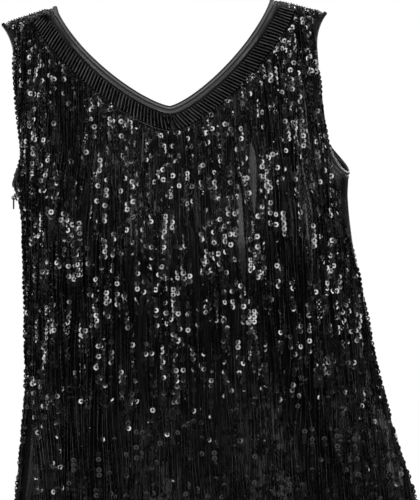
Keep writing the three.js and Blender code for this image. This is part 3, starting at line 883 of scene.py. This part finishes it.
# Short strands across the band, evenly spaced along its middle.
def bandStrands(face, offset=0.5):
    lines = []
    middle = (trim["strandInner"] + trim["strandOuter"]) / 2
    insets = np.linspace(trim["strandInner"], trim["strandOuter"], 5)
    shares = np.linspace(0, 1, 600)
    for side in (-1, 1):
        x, drop = neckPoint(shares, middle, face)
        length = runLengths(np.column_stack([x, drop]))
        slant = trim["slantRight"] if side > 0 else trim["slantLeft"]
        count = int(length[-1] / trim["strandSpacing"])
        for k in range(count):
            at = (k + offset) * length[-1] / count
            run = at + slant * (np.linspace(1, 0, 5) - 0.5)
            share = np.interp(run, length, shares)
            x, drop = neckPoint(np.clip(share, *trim["shareEnds"]), insets, face)
            below = drop > trim["stripReach"] + trim["stripClear"]
            if below.sum() < 2:
                continue
            x, drop = x[below], drop[below]
            angle = angleAt(side * x, drop, face)
            if (side > 0) == (face == "front"):
                angle, drop = angle[::-1], drop[::-1]
            lines.append(formLine(angle, drop, trim["strandLift"], number=len(lines) * side))
    return lines


# Over a strap from front to back at x. reach runs up to the shoulder line.
def overStrap(x, reach):
    behind = reach[-2::-1]
    angle = np.concatenate([angleAt(x, reach, "front"), angleAt(x, behind, "back")])
    return angle, np.broadcast_to(np.concatenate([reach, behind]), angle.shape)


def stripStrands(side):
    inner, outer = trim["stripStrandInset"]
    places = np.arange(trim["stripInner"] + inner, trim["stripOuter"] - outer, trim["stripSpacing"])
    reach = (trim["stripReach"] - trim["pipingClear"]) * np.linspace(1, 0, 9) ** 2
    rows = [overStrap(side * x, reach) for x in places]
    return [formLine(*row, trim["stripLift"], number=number) for number, row in enumerate(rows)]


def makeStripCloth(name, side):
    reach = trim["stripReach"] * np.linspace(1, 0, 12)[:, None] ** 2
    across = np.linspace(trim["stripInner"], trim["stripOuter"], 9)
    return trimCloth(name, *overStrap(side * across, reach), across)


def pipingLines():
    inner, outer = trim["pipingInset"]
    across = np.linspace(trim["stripInner"] + inner, trim["stripOuter"] - outer, 12)
    beside = np.full(across.shape, trim["stripReach"] + trim["pipingBeyond"])
    lines = []
    for face in ("front", "back"):
        angle, drop = (column[:, 0] for column in neckRing([trim["outer"]], (face,)))
        keep = drop > trim["stripReach"] + trim["pipingClear"]
        lines.append(formLine(angle[keep], drop[keep], trim["pipingLift"]))
        for side in (-1, 1):
            angle = angleAt(side * across, beside, face)
            lines.append(formLine(angle, beside, trim["stripPipingLift"]))
    return lines


neckBandFront = makeBandCloth("neckBandFront", "front")
neckBandBack = makeBandCloth("neckBandBack", "back")
shoulderStripLeft = makeStripCloth("shoulderStripLeft", -1)
shoulderStripRight = makeStripCloth("shoulderStripRight", 1)
neckBandSequinsFront = sequinsAlong("neckBandSequinsFront", bandStrands("front"), 11, trim, trim["turn"])
neckBandSequinsBack = sequinsAlong("neckBandSequinsBack", bandStrands("back"), 12, trim, trim["turn"])
stripLook = (trim, trim["stripTurn"], trim["stripSize"])
stripSequinsLeft = sequinsAlong("stripSequinsLeft", stripStrands(-1), 13, *stripLook)
stripSequinsRight = sequinsAlong("stripSequinsRight", stripStrands(1), 14, *stripLook)
trimPiping = threadAlong("trimPiping", pipingLines(), 0.002, trim["pipingRadius"], 6, satin)
bandThreadLines = bandStrands("front", 1.0) + bandStrands("back", 1.0)
bandThreads = threadAlong("bandThreads", bandThreadLines, 0.005, trim["threadRadius"], 5, bandThread)
print("neck band and shoulder strips made")


# The hanging strands.
strands = {
    "spacing": 0.0030,  # at the fullest ring of the chest
    "spacedAt": 0.230,
    "pitch": 0.0053,
    "step": 0.010,
    "fineStep": 0.001,
    "lift": ((0.0034, 0.0052), (0.0022, 0.0032)),  # inner and outer strands, at the middle and the sides
    "liftEase": (math.radians(38), math.radians(62)),
    "bandInset": 0.0006,
    "armholeInset": 0.0006,
    "armholeTopInset": 0.0080,  # the armhole binding shows at the top of the strap
    "armholeEase": (0.022, 0.050),
    "armholeClear": 0.240,  # below this drop no strand is held to the armhole
    "clingFrom": 0.050,  # below this drop the strands nearest an armhole go out along its edge
    "clingBand": 0.16,
    "sideStart": 0.199,
    "sideLow": 0.250,  # where the strands nearest a side seam start
    "sideNear": (math.radians(60), math.radians(76)),
    "sideRow": 150,  # the fine steps down at which a strand's side and its nearness to the seam are read
    "nearRow": 190,
    "sideStarts": (0.160, 0.270),  # strands that come clear between these drops start at sideStart or lower
    "sideTop": {-1: math.radians(77), 1: math.radians(67)},
    "sideBottom": math.radians(82),
    "sideShare": 0.985,
    "sideBand": 0.12,  # radians over which strands crowd together at a side
    "strapBand": 0.05,
    "halfway": 0.024,
    "lean": math.radians(2.0),  # off plumb at the middle, and how it grows to the viewer's right
    "fan": math.radians(14),
    "edgeCount": 4,
    "drapeOver": 0.026,  # how far past the side a strand may start and still be drawn in to it
    "hipCount": 20,
    "hipReach": 0.115,
    "hipEase": 1.4,
    "partingFade": (0.011, 1.1),  # strands make way over at least this width, or this share of the parting
    "sideStagger": math.radians(8),  # strands drawn in to a side stop over this much of the ring
    "sideEase": (0.205, 0.300),
    "end": 0.7755,
    "turnReach": math.radians(170),
    "turnLength": 0.150,
    "tip": math.radians(13),
    # how many degrees up they face, by drop
    "facing": ((0.00, 0.20, 0.30, 0.37, 0.45, 0.80), (6.5, 8.5, 10, 10, -2, -5)),
    "clump": 0.0030,
    "bareTop": 0.03,
    "bareLow": 0.22,
    "bareSide": 0.50,
    "bareEase": (0.34, 0.46),
    "bareSideEase": (math.radians(50), math.radians(66)),
    "threadRadius": 0.0003,
    "rootLift": 0.0022,
    "rootLength": 0.020,
    "sway": 0.0005,
    "swayWaves": (40, 90),
    "ripple": 0.0006,
    "rippleWaves": (30, 60),
    "rippleFrom": 0.050,
    "anyPhase": (0, 6.3),
    "clumpRadius": 0.17,
    "clumpFrom": 0.120,
    "clumpEase": (math.radians(46), math.radians(60)),
    "sideCalm": 0.85,
    "stagger": 0.618,
    "endSpread": 0.006,
    "bareSpread": 0.020,
}
chance = np.random.default_rng(20)
clumpWaves = chance.uniform((20, -30, 0), (420, 30, 2 * math.pi), (14, 3))

# Places where the strands part and show the cloth: sideways place, first and last drop, half width.
partingRows = {
    "front": (
        (0.097, 0.150, 0.240, 0.0048),
        (0.079, 0.190, 0.320, 0.0048),
        (0.066, 0.130, 0.185, 0.0016),
        (0.036, 0.190, 0.245, 0.0018),
        (0.021, 0.165, 0.225, 0.0015),
        (-0.010, 0.150, 0.215, 0.0014),
        (-0.036, 0.235, 0.330, 0.0020),
        (-0.078, 0.180, 0.250, 0.0017),
        (0.130, 0.215, 0.270, 0.0020),
        (-0.096, 0.270, 0.350, 0.0022),
        (-0.132, 0.330, 0.470, 0.0030),
        (-0.142, 0.400, 0.720, 0.0300),
        (0.165, 0.300, 0.380, 0.0022),
        (0.016, 0.300, 0.355, 0.0015),
    ),
    "back": (
        (0.030, 0.250, 0.330, 0.0024),
        (0.072, 0.320, 0.420, 0.0020),
        (-0.018, 0.290, 0.350, 0.0018),
        (-0.062, 0.220, 0.310, 0.0026),
        (-0.098, 0.330, 0.400, 0.0017),
        (0.104, 0.215, 0.270, 0.0019),
        (-0.128, 0.400, 0.520, 0.0028),
        (0.142, 0.350, 0.460, 0.0023),
    ),
}


# How far a strand at this place is drawn aside, in the direction of its angle on this face.
def parting(face, place, drop):
    aside = np.zeros(drop.shape)
    least, most = strands["partingFade"]
    for middle, first, last, reach in partingRows[face]:
        away = place - middle
        share = np.clip((drop - first) / (last - first), 0, 1)
        fade = math.exp(-((away / max(least, most * reach)) ** 2))
        aside += math.copysign(reach, away) * fade * np.sin(math.pi * share) ** 0.7
    return aside if face == "front" else -aside


# How neighbouring strands drift together and apart, from 0 at their tops.
def clumping(angle, drop, top):
    place = angle * strands["clumpRadius"]
    aside = sum(np.sin(across * place + down * drop + start) for across, down, start in clumpWaves)
    aside = aside / math.sqrt(len(clumpWaves))
    return aside * strands["clump"] * smooth(drop, top, top + strands["clumpFrom"])


# Strands hang freer than the cloth behind them, so their sequins face less up or down than it does.
def hangingOutward(angle, drop):
    out = outward(angle, drop)
    up = np.tan(np.radians(np.interp(drop, *strands["facing"]))) * np.hypot(out[:, 0], out[:, 1])
    out = np.column_stack([out[:, :2], up])
    return out / np.linalg.norm(out, axis=1, keepdims=True)


# Where the strands of one face hang, seen from in front: evenly spaced round the ring, then a few far
# apart that start where the hips come out to them.
def strandPlaces(face):
    fine = np.linspace(-strands["sideBottom"], strands["sideBottom"], 1200)
    fine = fine if face == "front" else math.pi - fine
    points = barePoint(fine, np.full(fine.shape, strands["spacedAt"]))
    length = runLengths(points)
    count = int(length[-1] / strands["spacing"])
    across = np.interp((np.arange(count) + 0.5) / count * length[-1], length, points[:, 0])
    edge = np.arange(1, strands["edgeCount"] + 1) * strands["spacing"]
    across = np.concatenate([across[0] - edge[::-1], across, across[-1] + edge])
    shares = np.arange(1, strands["hipCount"] + 1) / strands["hipCount"]
    beyond = strands["hipReach"] * shares ** strands["hipEase"]
    return np.concatenate([across[0] - beyond[::-1], across, across[-1] + beyond])


# Bends a value towards its most over the last band before it.
def eased(value, most, band):
    over = np.maximum(value - (most - band), 0)
    return np.where(over > 0, most - band * np.exp(-over / band), value)


# A strand hangs almost plumb over the form. It stays off the seams at the sides and inside the armhole.
def strandPath(face, place, stagger):
    drop = np.arange(trim["stripReach"] + trim["stripClear"], strands["end"], strands["fineStep"])
    lean = strands["lean"] + strands["fan"] * place
    across = place + (drop - strands["spacedAt"]) * math.tan(lean)
    roll = math.radians(pose["rollDegrees"])
    across = (across - drop * math.sin(roll)) / math.cos(roll) - ringValue("swing", drop)
    side = 1 if across[strands["sideRow"]] > 0 else -1
    middle = middleAngle(side, face)
    aside = np.abs(angleAt(across, drop, face) - middleAngle(np.sign(across), face))
    limit = strands["sideTop"][side] if face == "front" else strands["sideTop"][-1]
    limit = limit + (strands["sideBottom"] - limit) * smooth(drop, *strands["sideEase"])
    limit = limit - strands["sideStagger"] * stagger
    over = np.abs(across) - ringValue("halfWidth", drop) * strands["sideShare"]
    neck = np.abs(neckEdgeAngle(side, trim["outer"] + strands["bandInset"], face, drop) - middle)
    arm = np.abs(outerAngle(side, strands["armholeInset"], face, drop) - middle)
    armTop = np.abs(outerAngle(side, strands["armholeTopInset"], face, drop) - middle)
    arm = armTop + (arm - armTop) * smooth(drop, *strands["armholeEase"])
    onStrap = aside[0] <= arm[0]
    clear = (aside >= neck - 1e-6) & (onStrap | (aside <= arm + 1e-6) | (drop > strands["armholeClear"]))
    clear &= over < strands["drapeOver"]
    if not clear[-1]:
        return None
    blocked = np.nonzero(~clear)[0]
    start = drop[blocked[-1] + 1] if len(blocked) else drop[0]
    if not onStrap and strands["sideStarts"][0] < start < strands["sideStarts"][1]:
        nearness = smooth(aside[strands["nearRow"]], *strands["sideNear"])
        start = max(start, strands["sideStart"]) + (strands["sideLow"] - strands["sideStart"]) * nearness
    if onStrap:
        top = np.searchsorted(drop, strands["clingFrom"])
        near = math.exp(-(((arm[top] - aside[top]) / strands["clingBand"]) ** 2))
        follow = np.maximum((arm - arm[top]) - (aside - aside[top]), 0)
        follow[:top] = 0
        held = np.minimum(drop, cut["armholeBottom"] - cut["armholeRounding"][face])
        aside = aside + near * np.interp(held, drop, follow)
    aside = eased(aside, limit, strands["sideBand"])
    within = np.minimum(aside, eased(aside, arm, strands["strapBand"]))
    aside = np.where(drop < cut["armholeBottom"], within, aside)
    turned = np.where(across > 0, 1, -1) * aside
    return drop, turned if face == "front" else math.pi - turned, start


def makeStrandLines(face):
    halves = {-1: [], 1: []}
    phase = strands["anyPhase"]
    for number, place in enumerate(strandPlaces(face)):
        found = strandPath(face, place, number * strands["stagger"] % 1)
        if found is None:
            continue
        drop, path, start = found
        end = strands["end"] - chance.uniform(0, strands["endSpread"])
        level = np.append(np.arange(start, end, strands["step"]), end)
        turn = np.interp(level, drop, path)
        wavy = np.sin(level * chance.uniform(*strands["swayWaves"]) + chance.uniform(*phase))
        aside = np.minimum(np.abs(turn), np.abs(math.pi - turn))
        free = 1 - strands["sideCalm"] * smooth(aside, *strands["clumpEase"])
        drift = free * clumping(turn, level, start) + parting(face, place, level) + strands["sway"] * wavy
        turn = turn + drift / ringValue("halfWidth", level)
        middleLift, sideLift = (pair[number % 2] for pair in strands["lift"])
        height = middleLift + (sideLift - middleLift) * smooth(aside, *strands["liftEase"])
        swelling = smooth(level, start, start + strands["rootLength"])
        rise = strands["rootLift"] + (height - strands["rootLift"]) * swelling
        wavy = np.sin(level * chance.uniform(*strands["rippleWaves"]) + chance.uniform(*phase))
        rise = rise + strands["ripple"] * wavy * smooth(level, start, start + strands["rippleFrom"])
        low = smooth(level + chance.normal(0, strands["bareSpread"]), *strands["bareEase"])
        more = strands["bareSide"] - strands["bareLow"]
        most = strands["bareLow"] + more * smooth(aside, *strands["bareSideEase"])
        bare = strands["bareTop"] + (most - strands["bareTop"]) * low
        line = formLine(turn, level, rise, bare=bare, number=number)
        line["outward"] = hangingOutward(turn, level)
        halves[1 if place > strands["halfway"] else -1].append(line)
    return halves


frontLines, backLines = makeStrandLines("front"), makeStrandLines("back")
fringeFrontLeft = sequinsAlong("fringeFrontLeft", frontLines[-1], 21, strands)
fringeFrontRight = sequinsAlong("fringeFrontRight", frontLines[1], 22, strands)
fringeBackLeft = sequinsAlong("fringeBackLeft", backLines[-1], 23, strands)
fringeBackRight = sequinsAlong("fringeBackRight", backLines[1], 24, strands)
threadLook = (0.012, strands["threadRadius"], 3, strandThread)
frontThreads = threadAlong("frontThreads", frontLines[-1] + frontLines[1], *threadLook)
backThreads = threadAlong("backThreads", backLines[-1] + backLines[1], *threadLook)
print("strands made:", sum(len(half) for half in (*frontLines.values(), *backLines.values())))


# The zip's teeth, from the slider down.
zipper = {
    "top": 0.196,
    "bottom": 0.436,
    "pitch": 0.0013,
    "lift": 0.0001,
    "tooth": (0.0019, 0.0008, 0.0009),
    "toothBevel": 0.00012,
}


def makeToothShape():
    edit = bmesh.new()
    bmesh.ops.create_cube(edit, size=1.0)
    bmesh.ops.scale(edit, vec=zipper["tooth"], verts=edit.verts)
    bmesh.ops.bevel(edit, geom=edit.edges[:], offset=zipper["toothBevel"], segments=1, affect="EDGES")
    mesh = bpy.data.meshes.new("toothShape")
    edit.to_mesh(mesh)
    edit.free()
    return linked("toothShape", mesh)


toothShape = makeToothShape()
zipDrop = np.arange(zipper["top"], zipper["bottom"], 0.005)
zipLine = formLine(seamAngle(-1, zipDrop), zipDrop, zipper["lift"])
zipTeeth = shapesAlong("zipTeeth", [zipLine], zipper["pitch"], toothShape, 0.02, 6, zipMetal)


def finishNode(name, material):
    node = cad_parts[name]
    if not node.data.materials:
        node.data.materials.append(material)
    for place in node.material_slots:
        place.link = "OBJECT"
        place.material = material


for nodeName, finish in (("zip_tape", tapeWeave), ("zip_slider", zipMetal), ("zip_tab", zipMetal)):
    finishNode(nodeName, finish)
for helper in (stitchShape, sequinShape, toothShape):
    bpy.data.objects.remove(helper)
print("zip made")


pieceRows = (
    # piece, the CAD nodes it stands for, finish
    (frontJersey, ("front_panel",), "base_jersey"),
    (backJersey, ("back_panel",), "base_jersey"),
    (neckBinding, ("neck_binding",), "satin_binding"),
    (armholeBindingLeft, ("armhole_binding_left",), "satin_binding"),
    (armholeBindingRight, ("armhole_binding_right",), "satin_binding"),
    (neckBandFront, ("neck_band_front",), "satin_binding"),
    (neckBandBack, ("neck_band_back",), "satin_binding"),
    (shoulderStripLeft, ("shoulder_strip_left",), "satin_binding"),
    (shoulderStripRight, ("shoulder_strip_right",), "satin_binding"),
    (trimPiping, (), "satin_binding"),
    (bandThreads, (), "thread"),
    (neckBandSequinsFront, (), "sequins"),
    (neckBandSequinsBack, (), "sequins"),
    (stripSequinsLeft, (), "sequins"),
    (stripSequinsRight, (), "sequins"),
    (fringeFrontLeft, ("fringe_front",), "sequins"),
    (fringeFrontRight, (), "sequins"),
    (fringeBackLeft, ("fringe_back",), "sequins"),
    (fringeBackRight, (), "sequins"),
    (frontThreads, (), "thread"),
    (backThreads, (), "thread"),
    (neckStitches, (), "thread"),
    (armholeStitches, (), "thread"),
    (seamStitches, (), "thread"),
    (zipTeeth, (), "zip_metal"),
)
for piece, nodes, finishSlot in pieceRows:
    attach(piece, "dress")
    if nodes:
        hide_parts(*nodes)


stage = {
    "floorLevel": -1.05,
    "floorRadius": 2.2,
    "floorSides": 64,
    "cameraAway": 3.0,
    "viewHeight": 0.535,  # how much of the dress the view takes in, top to bottom
    "viewMiddle": (0.0498, -0.2629),
    "dim": 0.012,  # the room that the sequins mirror
    "pale": 1.0,
}


def makeFloor():
    ring = circle(stage["floorRadius"], stage["floorLevel"], stage["floorSides"])
    material = principled("paleFloor", (0.86, 0.86, 0.86), Roughness=0.7)[0]
    linked("floor", meshOf("floor", ring, [tuple(range(len(ring)))]), material)


def makeRoom():
    world = bpy.data.worlds.new("paleRoom")
    world.use_nodes = True
    bpy.context.scene.world = world
    tree = world.node_tree
    back = tree.nodes["Background"]
    seen = addNode(tree, "ShaderNodeLightPath").outputs["Is Camera Ray"]
    strength = mapRange(tree, seen, (0, 1), (stage["dim"], stage["pale"]))
    tree.links.new(strength, back.inputs["Strength"])
    back.inputs["Color"].default_value = (1, 1, 1, 1)


def makePanelLight(name, place, target, size, power):
    light = bpy.data.lights.new(name, "AREA")
    light.shape, light.size, light.size_y, light.energy = "RECTANGLE", *size, power
    lamp = bpy.data.objects.new(name, light)
    bpy.context.scene.collection.objects.link(lamp)
    aim = np.array(target) - np.array(place)
    lamp.location = place
    lamp.rotation_euler = (math.atan2(math.hypot(aim[0], aim[1]), -aim[2]), 0, math.atan2(-aim[0], aim[1]))
    lamp.visible_camera = False


lightRows = (
    # name, place, what it faces, size, watts
    ("frontLeft", (-0.80, -2.45, 0.54), (0.02, 0.0, -0.20), (0.34, 1.08), 7.7),
    ("frontRight", (0.90, -2.42, 0.54), (0.04, 0.0, -0.20), (0.34, 1.08), 7.0),
    ("sideLeft", (-2.40, -1.00, 0.62), (0.02, 0.0, -0.20), (0.46, 0.95), 8.6),
    ("sideRight", (2.45, -0.95, 0.62), (0.05, 0.0, -0.20), (0.46, 0.95), 7.8),
    ("backLeft", (-1.40, 2.20, 0.62), (0.02, 0.0, -0.20), (0.40, 1.00), 9.0),
    ("backRight", (1.35, 2.25, 0.62), (0.04, 0.0, -0.20), (0.40, 1.00), 9.0),
    ("farLeft", (-2.45, 0.95, 0.62), (0.02, 0.0, -0.20), (0.46, 0.95), 8.0),
    ("farRight", (2.40, 1.05, 0.62), (0.05, 0.0, -0.20), (0.46, 0.95), 8.0),
    ("fillFront", (0.1, -2.6, 0.1), (0.0, 0.0, -0.3), (2.6, 1.6), 0.9),
    ("fillBack", (0.0, 2.7, 0.1), (0.0, 0.0, -0.3), (2.6, 1.6), 1.2),
    ("highFront", (0.0, -2.1, 1.9), (0.0, 0.0, -0.1), (1.8, 0.7), 6.0),
    ("highBack", (0.0, 2.1, 1.9), (0.0, 0.0, -0.1), (1.8, 0.7), 4.0),
    ("overhead", (0.0, 0.1, 2.3), (0.0, 0.0, -0.3), (2.4, 1.4), 7),
    ("lowLeft", (-2.60, 0.45, 0.0), (-0.1, 0.0, -0.5), (0.2, 0.8), 2.5),
)
makeFloor()
makeRoom()
for row in lightRows:
    makePanelLight(*row)

camera = bpy.data.cameras.new("camera")
camera.sensor_fit = "VERTICAL"
camera.lens = camera.sensor_height * stage["cameraAway"] / stage["viewHeight"]
viewer = bpy.data.objects.new("camera", camera)
viewer.location = (stage["viewMiddle"][0], -stage["cameraAway"], stage["viewMiddle"][1])
viewer.rotation_euler = (math.pi / 2, 0, 0)
bpy.context.scene.collection.objects.link(viewer)
bpy.context.scene.camera = viewer
bpy.context.scene.view_settings.view_transform = "Standard"

print("stage set")
